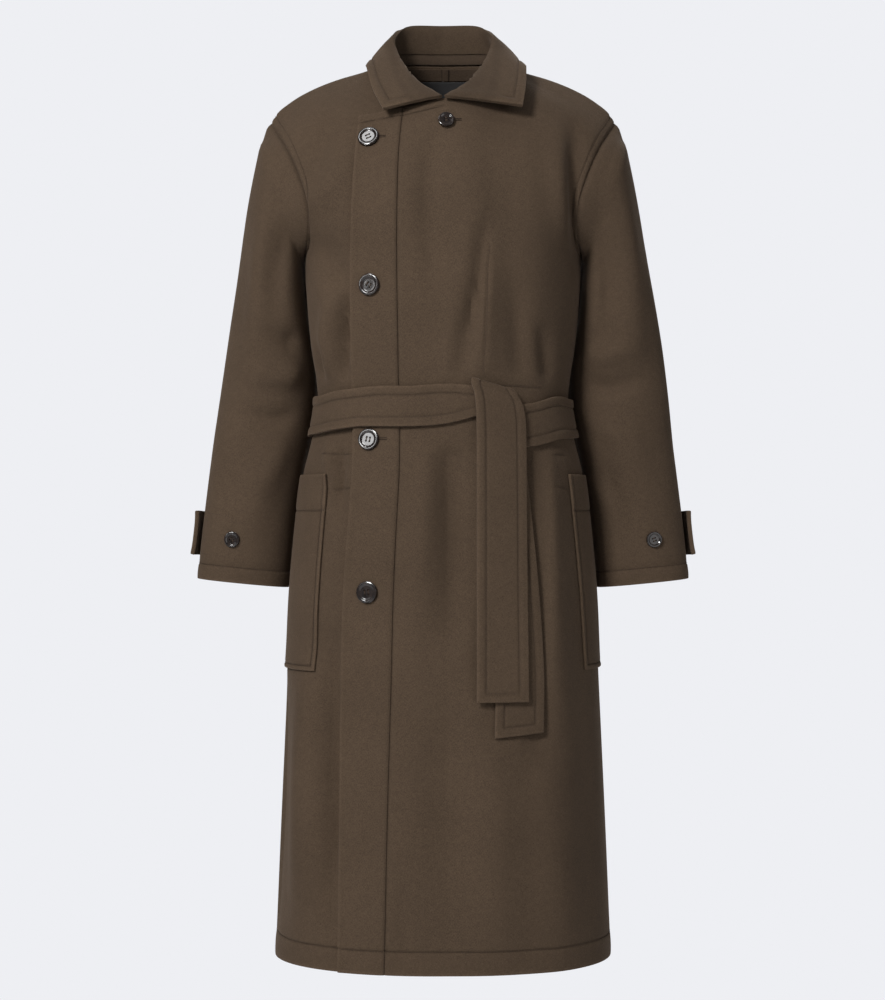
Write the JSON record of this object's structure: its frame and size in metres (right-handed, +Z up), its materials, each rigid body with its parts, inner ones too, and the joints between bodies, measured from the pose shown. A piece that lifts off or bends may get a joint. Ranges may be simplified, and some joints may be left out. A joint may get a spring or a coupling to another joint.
{
  "type": "wrap coat",
  "caption": "Long hollow wool wrap coat with turned-down collar, lapped button front, tied belt, patch pockets and cuff straps.",
  "frame": {"origin": "base of the neck, midway between the two shoulder-neck points", "axes": "+X to the wearer's left, +Y to the wearer's back, +Z up"},
  "size_m": [0.6756, 0.3188, 1.2467],
  "materials": {
    "wool": "brushed melton wool, matt with a short soft nap",
    "wool_inside": "brushed melton wool on the inside of the neck, matt",
    "lining": "dark smooth twill lining, faint sheen",
    "horn": "dark polished horn"
  },
  "bodies": {
    "root": {"front_left": "wool", "front_left_band": "wool", "front_right": "wool", "back_left": "wool", "back_right": "wool", "back_neck_facing": "wool_inside", "back_lining": "lining", "sleeve_left": "wool", "sleeve_right": "wool", "collar_leaf": "wool", "collar_stand": "wool_inside", "belt_waist": "wool", "belt_tail_front": "wool", "belt_tail_back": "wool", "pocket_left": "wool", "pocket_right": "wool", "cuff_strap_left": "wool", "cuff_strap_right": "wool", "button_front_1": "horn", "button_front_2": "horn", "button_front_3": "horn", "button_front_4": "horn", "button_neck": "horn", "button_cuff_left": "horn", "button_cuff_right": "horn"}
  },
  "joints": []
}
